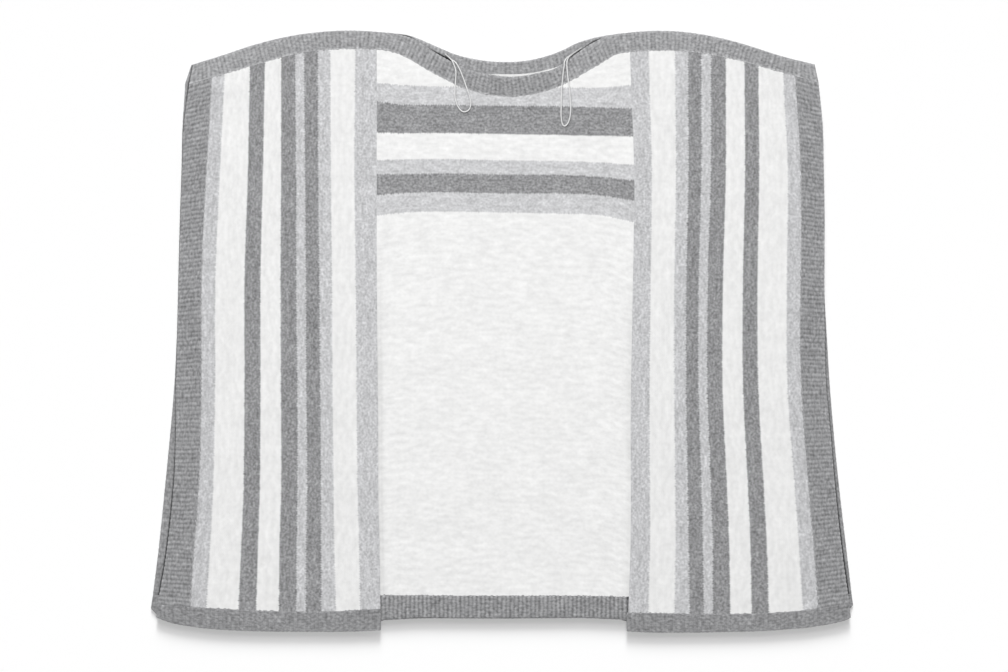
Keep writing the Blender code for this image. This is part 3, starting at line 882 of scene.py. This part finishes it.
FRONT, BACK = (FRONT_LEVEL, PANEL_STEP, FRONT_TROUGHS), (BACK_LEVEL, BACK_STEP, BACK_TROUGHS)
CENTRE, LEFT = knitted_upright(CENTRE_BORDERS), knitted_sideways(LEFT_BORDERS)
RIGHT = knitted_sideways(RIGHT_BORDERS)
PANELS = (
    Panel("front_centre", *FRONT, CENTRE, "centre", "top bottom", LEFT_SEAM, RIGHT_SEAM),
    Panel("front_left", *FRONT, LEFT, "left", "top bottom left", (), SIDE_SEAM),
    Panel("front_right", *FRONT, RIGHT, "right", "top bottom right", SIDE_SEAM, ()),
    Panel("back", *BACK, lambda plan: (plan.x, plan.y), "back", "left right bottom", (), ()),
)
pieces = {panel.name + "_panel": panel_shell(panel) for panel in PANELS}

# %% [markdown]
# ## The rib bands
#
# Plump ribs stand side by side across a band. They repeat along it by a rule, so Geometry Nodes make them. The
# tree is given two rails, the seam and the free edge, with some points on each to every rib. It lays a fine
# grid between the rails, lifts a rounded ridge on it for every rib, and closes it with a flat underside.

# %% The rib band tree
RIB_NUMBERS = (
    "Column width", "Columns a rib", "Rib height", "Rib shade", "Unevenness", "Wall", "Level", "Free ends",
    "Bind off", "Edge light", "Seam line", "Seed",
)
# The free edge: how far it drops, how round and how wavy it is, and the share of the width where that starts.
EDGE_DROP, EDGE_ROLL, SCALLOP, NEAR_EDGE = 0.35 * MM, 0.5 * MM, 0.25 * MM, 0.86
# The row of the bind-off: its groove, its width, its depth and how much painted shade it gets.
BIND_GROOVE, BIND_WIDTH, BIND_DEPTH, BIND_SHADE = 0.9 * MM, 0.8 * MM, 0.25 * MM, 0.3
RIB_START = 2.2 * MM
EDGE_LIGHT_WIDTH = 2.2 * MM
SEAM_LINE, SEAM_LINE_WIDTH, SEAM_LINE_BREAKS = 3.7 * MM, 0.8 * MM, 50 * MM
# The waves in which the ribs wander and swell, along the band and across it, and how much they swell.
WANDER_SIZE, SWELL_SIZE, SWELL = (13 * MM, 12 * MM), (7 * MM, 8 * MM), 1.2
RAGGED_EDGE, RAGGED_SHARE = 4 * MM, 2.0
SWELL_SEED, RAGGED_SEED, BREAKS_SEED = 5.0, 9.0, 3.0
BREAK_SOFTNESS = 0.2


def rib_band_tree():
    tree, given, end = geometry_tree("rib_band", ("Columns", "Rows"), RIB_NUMBERS)
    # The sheet has one more line of points on every side than it has places: the rim stands upright there.
    index = tree.add("GeometryNodeInputIndex")
    line = (index / given["Rows"] + 0.001).math("FLOOR")
    row = index - line * given["Rows"]
    column = (line - 1).math("MAXIMUM", 0.0).math("MINIMUM", given["Columns"] - 1)
    position = tree.add("GeometryNodeInputPosition")
    gap_settings = {"data_type": "FLOAT_VECTOR"}
    gap = tree.add("GeometryNodeInputNamedAttribute", gap_settings, {"Name": GAP}).out("Attribute")

    def rail(offset, value):
        return tree.add(
            "GeometryNodeSampleIndex",
            {"data_type": "FLOAT_VECTOR", "domain": "POINT"},
            {"Geometry": given["Geometry"], "Value": value, "Index": column + offset},
        )

    seam, edge = rail(0.0, position), rail(given["Columns"], position)
    width = tree.vectors("DISTANCE", {0: seam, 1: edge}).out("Value")
    # Rows lie closer to the two rails than in the middle.
    step = (row - 1).math("MAXIMUM", 0.0)
    share = 0.5 - tree.math("COSINE", step * math.pi / (given["Rows"] - 2)) * 0.5
    along = column * given["Column width"]
    # The yarn counts its own stitches: one to a rib, whatever the ribs' pitch.
    stitches = column / given["Columns a rib"] * STITCH_WIDTH
    across = share * width
    from_edge = width - across
    to_end = column.math("MINIMUM", given["Columns"] - 1 - column) * given["Column width"]

    def rounded(inset):
        away = 1 - (inset / EDGE_ROLL).math("MINIMUM", 1.0)
        return (1 - away * away).math("MAXIMUM", 0.0).math("SQRT")

    rim = row.math("MINIMUM", line).math("MINIMUM", given["Columns"] + 1 - line).math("MINIMUM", 1.0)
    end_roll = 1 - (1 - rounded(to_end)) * given["Free ends"]
    roundness = rim.math("MINIMUM", rounded(from_edge)).math("MINIMUM", end_roll)

    # The ribs wander from side to side and swell and thin, as hand-steamed ribbing does.
    def waves(size, seed):
        return tree.noise(tree.point(along / size[0], across / size[1], given["Seed"] + seed), 1.0)

    wander, swell = waves(WANDER_SIZE, 0.0), waves(SWELL_SIZE, SWELL_SEED)
    phase = column / given["Columns a rib"] + wander * given["Unevenness"]
    wave = 0.5 - tree.math("COSINE", phase * (2 * math.pi)) * 0.5
    ridge = wave * tree.clamp(1 + swell * SWELL)
    # The last row is bound off: a groove, and then a low roll without ribs.
    bound = tree.bump(from_edge, BIND_GROOVE, BIND_WIDTH) * given["Bind off"]
    ridge = ridge * (1 - bound)
    raised = ridge * tree.clamp(across / RIB_START)
    near_edge = (share - NEAR_EDGE).math("MAXIMUM", 0.0) / (1 - NEAR_EDGE)
    drop = near_edge * near_edge * EDGE_DROP
    middle = given["Level"] + given["Wall"] / 2
    rise = given["Rib height"] * raised - bound * BIND_DEPTH - drop
    top = (given["Wall"] / 2 + rise) * roundness + middle
    under = middle - given["Wall"] / 2 * roundness

    ragged = tree.noise(tree.point(along / RAGGED_EDGE, given["Seed"] + RAGGED_SEED, 0.0), 1.0)
    reach = near_edge * SCALLOP * (ridge + ragged * RAGGED_SHARE) / width
    flat = tree.mix_vectors(seam, edge, share + reach)
    edge_light = tree.bump(from_edge, 0.0, EDGE_LIGHT_WIDTH) * given["Edge light"]
    breaks = tree.noise(tree.point(along / SEAM_LINE_BREAKS, given["Seed"] + BREAKS_SEED, 0.0), 0.0)
    broken = tree.step(breaks, 0.0, BREAK_SOFTNESS)
    seam_line = tree.bump(across, SEAM_LINE, SEAM_LINE_WIDTH) * broken - tree.bump(across, 0.0, SEAM_LINE / 2)
    # Painted light and shade: the ribs' grooves and the bind-off groove darker, as shade, and the free edge
    # lighter, as light on its roll.
    level = 1 + (ridge - 0.5) * given["Rib shade"] - bound * BIND_SHADE + edge_light
    level = level - seam_line * given["Seam line"]

    gap_place = tree.mix_vectors(rail(0.0, gap), rail(given["Columns"], gap), share)
    # Painted shade from the rails: the middle of the front's neck band darker.
    level = level - tree.split(gap_place)[2]

    sheets = []
    for height, flip in ((top, False), (under, True)):
        size = {"Vertices X": given["Columns"] + 2, "Vertices Y": given["Rows"]}
        sheet = tree.add("GeometryNodeMeshGrid", None, size)
        for name, value in ((CLOTH, tree.point(stitches, across, level)), (GAP, gap_place)):
            sheet = tree.add(
                "GeometryNodeStoreNamedAttribute",
                {"data_type": "FLOAT_VECTOR", "domain": "POINT"},
                {"Geometry": sheet, "Name": name, "Value": value},
            )
        lifted = tree.vectors("ADD", {0: flat, 1: tree.point(0.0, 0.0, height)})
        placed = tree.add("GeometryNodeSetPosition", None, {"Geometry": sheet, "Position": lifted})
        sheets.append(tree.add("GeometryNodeFlipFaces", None, {"Mesh": placed}) if flip else placed)
    joined = tree.add("GeometryNodeJoinGeometry", None, {"Geometry": sheets[0]})
    tree.feed(joined.node.inputs["Geometry"], sheets[1])
    closed = tree.add("GeometryNodeMergeByDistance", None, {"Geometry": joined, "Distance": WELD})
    return end(tree.add("GeometryNodeSetShadeSmooth", None, {"Geometry": closed}))


rib_band = rib_band_tree()
print("rib band tree:", len(rib_band.nodes), "nodes")

# %% [markdown]
# Each band names its solid, and which sides of the outline are its seam and its free edge. The ribs' pitch is
# the solid's own. The front's side hems are looser knitting with hardly any rib. The back's side and hem bands
# are hidden but for a narrow strip, and stay plain. Beside the front's free edge, the shade of the gap between
# front and back is painted on the back's bands.

# %% The bands
Band = namedtuple("Band", "name seam edge pitch height shade uneven bind light line finish")
NECK_PITCH, SIDE_PITCH, HEM_PITCH = 4.65 * MM, 4.98 * MM, 4.76 * MM
RIB_HEIGHT, LOW_RIB = 0.6 * MM, 0.2 * MM
FRONT_BANDS = (
    Band("front_neck", "bottom", "top", NECK_PITCH, RIB_HEIGHT, 0.55, 0.65, 0.2, 0.35, 0.3, "neck_rib"),
    Band("front_left_side", "right", "left", SIDE_PITCH, RIB_HEIGHT, 0.45, 0.7, 0.1, 0.2, 0.0, "side_rib"),
    Band("front_right_side", "left", "right", SIDE_PITCH, RIB_HEIGHT, 0.45, 0.7, 0.1, 0.4, 0.0, "side_rib"),
    Band("front_centre_hem", "top", "bottom", HEM_PITCH, RIB_HEIGHT, 0.85, 0.4, 0.7, 0.0, 0.0, "ribbed_hem"),
    Band("front_left_hem", "top", "bottom", HEM_PITCH, LOW_RIB, 0.2, 1.0, 0.1, 0.3, 0.0, "hem_rib"),
    Band("front_right_hem", "top", "bottom", HEM_PITCH, LOW_RIB, 0.2, 1.0, 0.1, 0.3, 0.0, "hem_rib"),
)
BACK_BANDS = (
    Band("back_neck", "bottom", "top", NECK_PITCH, RIB_HEIGHT, 0.45, 0.6, 0.0, 0.4, 0.0, "back_neck_rib"),
    Band("back_left_side", "right", "left", SIDE_PITCH, LOW_RIB, 0.4, 0.8, 0.1, 0.2, 0.0, "back_side_rib"),
    Band("back_right_side", "left", "right", SIDE_PITCH, LOW_RIB, 0.4, 0.8, 0.1, 0.2, 0.0, "back_side_rib"),
    Band("back_hem", "top", "bottom", HEM_PITCH, LOW_RIB, 0.3, 0.8, 0.1, 0.0, 0.0, "back_hem_rib"),
)
RIB_FINISHES = (
    ("neck_rib", NECK_GREY, False),
    ("side_rib", SIDE_GREY, False),
    ("hem_rib", HEM_GREY, False),
    ("ribbed_hem", RIBBED_HEM_GREY, False),
    ("back_neck_rib", BACK_NECK_GREY, True),
    ("back_side_rib", SIDE_GREY, True),
    ("back_hem_rib", HEM_GREY, True),
)
for number, (name, yarn, gap) in enumerate(RIB_FINISHES):
    finishes[name] = knit_finish(name + "_knit", (yarn,), seed=81.0 + 6.0 * number, ribbed=True, gap=gap)

# How far the front stands off the back along its free edges, from 0 to 1: up the sides, and along the neck.
# It sets how dark and how wide the painted shadow in the gap beside that edge is.
LEFT_OPENING = (
    (-318, 0.6), (-200, 0.55), (-120, 0.3), (0, 0.25), (120, 0.3), (200, 0.3), (262, 0.35),
    (284, 0.5), (292, 0.9), (300, 1.0), (305, 0.4),
)
RIGHT_OPENING = ((-318, 0.7), (-230, 0.6), (-150, 0.35), (-60, 0.2), (120, 0.15), (300, 0.1))
NECK_OPENING = (
    (-130, 0.0), (-108, 0.6), (-98, 0.1), (-84, 0.1), (-75, 0.7), (-63, 1.0), (-55, 0.4), (-49, 0.0),
    (68, 0.0),
    (82, 0.15), (92, 0.3), (98, 0.5), (103, 0.8), (108, 0.7), (114, 0.0),
)
# The middle of the front's neck band stands up a little, away from the light, and that shade is painted on its
# colour.
NECK_DIM = 0.27
NECK_DIM_AT, NECK_DIM_WIDTH = 8 * MM, 95 * MM


# %% Where the back comes out from under the front
def beside_front(front_edge, axis, outwards, opening):
    """A point's distance outwards from the front's free edge, and how far that edge is open there."""
    rows = sorted((point[1 - axis], point[axis]) for point in front_edge)
    knots, places = zip(*rows)
    open_knots, openness = zip(*((place * MM, share) for place, share in opening))

    def read(point):
        here = point[1 - axis]
        distance = (point[axis] - cubic(knots, places, min(max(here, knots[0]), knots[-1]))) * outwards
        inside_table = min(max(here, open_knots[0]), open_knots[-1])
        return (distance, max(cubic(open_knots, openness, inside_table), 0.0), 0.0)

    return read


def back_neck_gap(point):
    """The back's neck band shows beside the front's neck edge, and at the left corner beside its end."""
    return beside_left_end(point) if point.x < outlines["front_neck_band"].top[0].x else beside_neck(point)


def front_neck_dim(point):
    return (1.0, 0.0, NECK_DIM * math.exp(-(((point.x - NECK_DIM_AT) / NECK_DIM_WIDTH) ** 2)))


beside_neck = beside_front(outlines["front_neck_band"].top, 1, 1, NECK_OPENING)
beside_left_end = beside_front(outlines["front_neck_band"].left, 0, -1, LEFT_OPENING)
GAPS = {
    "front_neck_band": front_neck_dim,
    "back_neck_band": back_neck_gap,
    "back_left_side_band": beside_front(outlines["front_left_side_band"].left, 0, -1, LEFT_OPENING),
    "back_right_side_band": beside_front(outlines["front_right_side_band"].right, 0, 1, RIGHT_OPENING),
}


# %% Band shells
def band_shell(band, level, rib_columns, rows, seed):
    node = band.name + "_band"
    sides = outlines[node]
    seam, edge = getattr(sides, band.seam), getattr(sides, band.edge)
    length = (lengths_along(seam)[-1] + lengths_along(edge)[-1]) / 2
    ribs = round(length / band.pitch)
    columns = ribs * rib_columns + 1
    shares = [index / (columns - 1) for index in range(columns)]
    readers = [smooth_side(side, steps) for side, steps in zip((seam, edge), paired_steps(seam, edge))]
    points = [read(share) for read in readers for share in shares]
    rails = bpy.data.meshes.new("rails")
    rails.from_pydata([(*point, 0.0) for point in points], [], [])
    if node in GAPS:
        gap = rails.attributes.new(GAP, "FLOAT_VECTOR", "POINT")
        gap.data.foreach_set("vector", [number for point in points for number in GAPS[node](point)])
    piece = grow(
        band.name + "_knit",
        rails,
        rib_band,
        {
            "Columns": columns,
            "Rows": rows,
            "Column width": length / (columns - 1),
            "Columns a rib": float(rib_columns),
            "Rib height": band.height,
            "Rib shade": band.shade,
            "Unevenness": band.uneven,
            "Wall": WALL,
            "Level": level,
            "Free ends": float(band.name.endswith("neck")),
            "Bind off": band.bind,
            "Edge light": band.light,
            "Seam line": band.line,
            "Seed": seed,
            "Material": finishes[band.finish],
        },
    )
    piece.data.set_sharp_from_angle(angle=SHARP)
    # Rails that run the other way give the sheet its faces upside down.
    face = max(piece.data.polygons, key=lambda polygon: polygon.center.z)
    if face.normal.z < 0:
        piece.data.flip_normals()
    print(piece.name, ribs, "ribs,", len(piece.data.polygons), "faces")
    return piece


# Columns to a rib, and rows across a band.
FINE, COARSE = (8, 19), (4, 11)
for bands, level, first_seed in ((FRONT_BANDS, FRONT_LEVEL, 0.0), (BACK_BANDS, BACK_LEVEL, 100.0)):
    for number, band in enumerate(bands):
        hidden = level == BACK_LEVEL and band.height == LOW_RIB
        detail = COARSE if hidden else FINE
        pieces[band.name + "_band"] = band_shell(band, level, *detail, first_seed + 10.0 * number)

# %% [markdown]
# ## The hanger loops
#
# Two thin loops of pale cord are sewn inside the neck and fall forward over its band. The solid's own route is
# repeated here, and the cord is a twist of three plies.

# %% The hanger loops
CORD_DIAMETER = 1.8 * MM
INSIDE_NECK = 4.1
ON_CORD, ON_PANEL, ON_BAND = 6.3, 6.6, 7.4
LEFT_LOOP = (
    (-65.5, 319.0, ON_CORD), (-60.8, 315.0, ON_CORD + 0.5), (-57.6, 311.6, ON_BAND - 0.2),
    (-55.6, 307.6, ON_BAND), (-53.0, 299.0, ON_BAND), (-53.4, 287.0, ON_BAND),
    (-54.0, 277.0, ON_BAND - 0.3), (-53.8, 268.0, ON_PANEL), (-51.4, 260.0, ON_PANEL),
    (-47.6, 254.4, ON_PANEL), (-43.0, 252.4, ON_PANEL), (-38.0, 255.0, ON_PANEL), (-35.8, 261.0, ON_PANEL),
    (-37.0, 269.0, ON_PANEL + 0.1), (-39.6, 277.0, ON_BAND - 0.1), (-43.0, 287.0, ON_BAND),
    (-47.6, 299.0, ON_BAND), (-51.8, 307.0, ON_BAND), (-54.4, 310.2, INSIDE_NECK + 2.2),
    (-58.4, 313.0, INSIDE_NECK + 0.4), (-62.0, 316.2, INSIDE_NECK), (-65.0, 319.0, INSIDE_NECK),
)
RIGHT_LOOP = (
    (91.6, 326.2, ON_CORD), (87.4, 323.4, ON_CORD + 0.2), (82.0, 319.6, ON_BAND - 0.5),
    (77.4, 315.8, ON_BAND), (75.0, 311.4, ON_BAND), (74.6, 305.0, ON_BAND), (75.6, 293.0, ON_BAND),
    (77.0, 282.0, ON_BAND - 0.1), (78.2, 271.0, ON_PANEL), (79.0, 257.0, ON_PANEL), (78.2, 247.0, ON_PANEL),
    (75.8, 239.6, ON_PANEL), (72.0, 236.2, ON_PANEL), (69.2, 239.2, ON_PANEL), (68.0, 247.0, ON_PANEL),
    (68.0, 257.0, ON_PANEL), (68.3, 270.0, ON_PANEL + 0.1), (68.8, 281.0, ON_BAND - 0.1),
    (70.2, 296.0, ON_BAND), (71.4, 305.0, ON_BAND), (72.1, 310.6, ON_BAND),
    (75.0, 314.9, INSIDE_NECK + 1.7), (80.0, 318.6, INSIDE_NECK + 0.3), (85.4, 322.4, INSIDE_NECK),
    (90.4, 325.6, INSIDE_NECK),
)
CORD_STEP = 0.6 * MM
PLIES, PLY_DEPTH = 3, 0.1
TURN_LENGTH = 4.5 * MM
CORD_TONE = 230
# How many fibres of the cord there are to a metre, and how much they change its tone and its surface.
FIBRES, FIBRE_TONE, FIBRE_BUMP, FIBRE_RELIEF = 1400.0, 0.15, 0.4, 0.1 * MM
CORD_SHADE, CORD_SHADE_FROM, CORD_SHADE_LENGTH = 0.16, 317 * MM, 12 * MM


def cord_tree():
    tree, given, end = geometry_tree("twisted_cord", (), ("Diameter", "Turn length"))
    line = tree.add("GeometryNodeMeshToCurve", None, {"Mesh": given["Geometry"]})
    turns = tree.add("GeometryNodeSplineParameter").out("Length") / given["Turn length"]
    tilt = turns * (2 * math.pi)
    twisted = tree.add("GeometryNodeSetCurveTilt", None, {"Curve": line, "Tilt": tilt})
    ring = tree.add(
        "GeometryNodeCurvePrimitiveCircle", {"mode": "RADIUS"}, {"Resolution": 12, "Radius": 1.0}
    ).out("Curve")
    x, y, _ = tree.split(tree.add("GeometryNodeInputPosition"))
    angle = tree.math("ARCTAN2", y, x)
    reach = (tree.math("COSINE", angle * PLIES) * PLY_DEPTH + (1 - PLY_DEPTH)) * given["Diameter"] / 2
    corner = tree.point(tree.math("COSINE", angle) * reach, tree.math("SINE", angle) * reach, 0.0)
    profile = tree.add("GeometryNodeSetPosition", None, {"Geometry": ring, "Position": corner})
    tube = tree.add(
        "GeometryNodeCurveToMesh", None, {"Curve": twisted, "Profile Curve": profile, "Fill Caps": True}
    )
    return end(tree.add("GeometryNodeSetShadeSmooth", None, {"Geometry": tube}))


def cord_finish():
    """Pale, slightly shiny cord with paler and darker fibres."""
    material, tree, shader = new_material("pale_grey_cord", {"Roughness": 0.6})
    place = tree.add("ShaderNodeTexCoord").out("Object")
    grain = tree.add("ShaderNodeTexNoise", None, {"Vector": place, "Scale": FIBRES, "Detail": 2.0}) - 0.5
    # Far up, the ends lie in the shade between the front and the back.
    shade = tree.step(tree.split(place)[1], CORD_SHADE_FROM, CORD_SHADE_LENGTH) * CORD_SHADE
    light = (grain * FIBRE_TONE + CORD_TONE / 255 - shade) ** DISPLAY_GAMMA
    tree.feed(shader.inputs["Base Color"], tree.grey(light))
    relief = {"Strength": FIBRE_BUMP, "Distance": FIBRE_RELIEF, "Height": grain}
    bump = tree.add("ShaderNodeBump", None, relief)
    tree.feed(shader.inputs["Normal"], bump)
    return material


def smooth_route(route):
    """Points at small even steps along a smooth line through a route's own points, in metres."""
    points = [Vector(point) * MM for point in route]
    knots = list(range(len(points)))
    steps = round(lengths_along(points)[-1] / CORD_STEP)
    return [cubic(knots, points, (len(points) - 1) * step / steps) for step in range(steps + 1)]


def hanger_loop(name, route, group, material):
    points = smooth_route(route)
    line = bpy.data.meshes.new("route")
    line.from_pydata(points, [(index, index + 1) for index in range(len(points) - 1)], [])
    values = {"Diameter": CORD_DIAMETER, "Turn length": TURN_LENGTH, "Material": material}
    piece = grow(name, line, group, values)
    length = lengths_along(points)[-1]
    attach(piece, BODY)
    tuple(points[0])
    print(name, round(length / MM), "mm of cord")
    return piece


twisted_cord = cord_tree()
finishes["cord"] = cord_finish()
for side, route in (("left", LEFT_LOOP), ("right", RIGHT_LOOP)):
    loop = hanger_loop(f"hanger_cord_{side}", route, twisted_cord, finishes["cord"])
    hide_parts(f"hanger_loop_{side}")

# %% [markdown]
# ## What stands for what
#
# Every shell stands for its solid: it rides the body, and its solid is hidden. A table lists each panel, the
# bands sewn round it, and what it lies on.

# %% Riding and replacing
for node, piece in pieces.items():
    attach(piece, BODY)
    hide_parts(node)

Cut = namedtuple("Cut", "panel bands under")
CUTS = (
    Cut("back_panel", "back_neck back_left_side back_right_side back_hem", "floor"),
    Cut("front_centre_panel", "front_neck front_centre_hem", "back_panel"),
    Cut("front_left_panel", "front_left_side front_left_hem", "back_panel"),
    Cut("front_right_panel", "front_right_side front_right_hem", "back_panel"),
)

for cut in CUTS:
    low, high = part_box(cut.panel)
    abs(signed_area(underside_loop(cut.panel)))
    [pieces[band + "_band"] for band in cut.bands.split()]
print("sheets declared:", len(CUTS))
